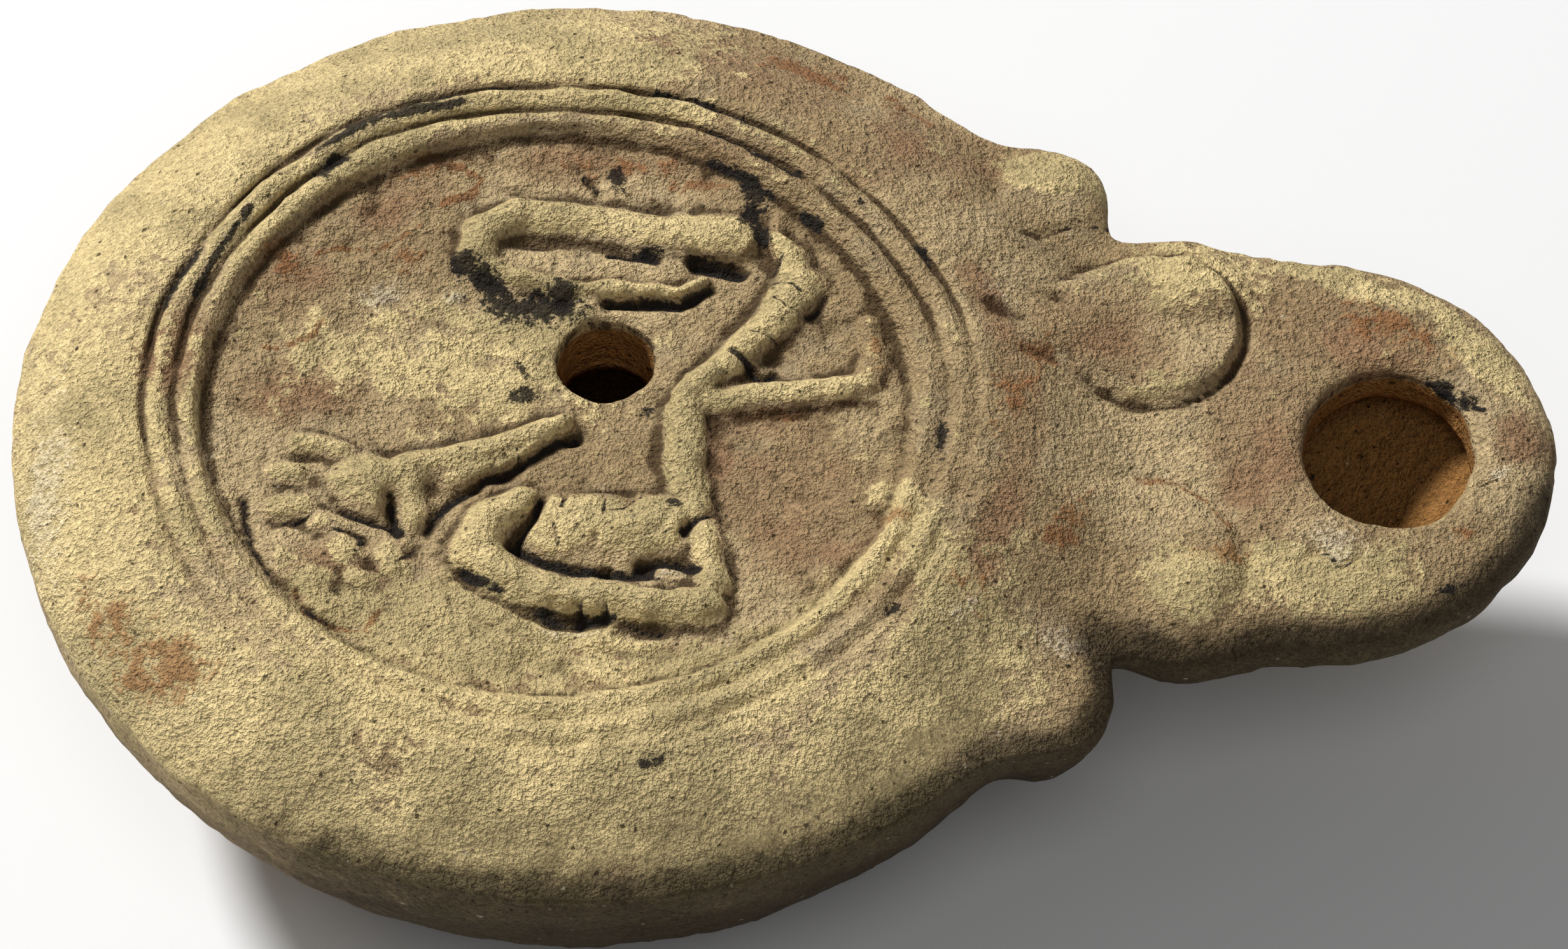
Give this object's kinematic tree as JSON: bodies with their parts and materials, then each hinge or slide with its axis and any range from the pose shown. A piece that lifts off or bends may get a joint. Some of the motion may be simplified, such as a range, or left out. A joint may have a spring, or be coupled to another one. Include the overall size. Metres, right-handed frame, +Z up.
{
  "type": "oil lamp",
  "caption": "Mould-made clay oil lamp with a round body, a sunken relief discus, a filling hole, volute knobs and a round-ended nozzle with a wick hole.",
  "frame": {"origin": "on the flat underside, below the centre of the round top", "axes": "+X from the round body to the wick nozzle, +Z up"},
  "size_m": [0.1027, 0.075, 0.0274],
  "materials": {
    "clay": "matt fired clay, buff with worn red slip and soot"
  },
  "bodies": {
    "root": {"lamp": "clay"}
  },
  "joints": []
}
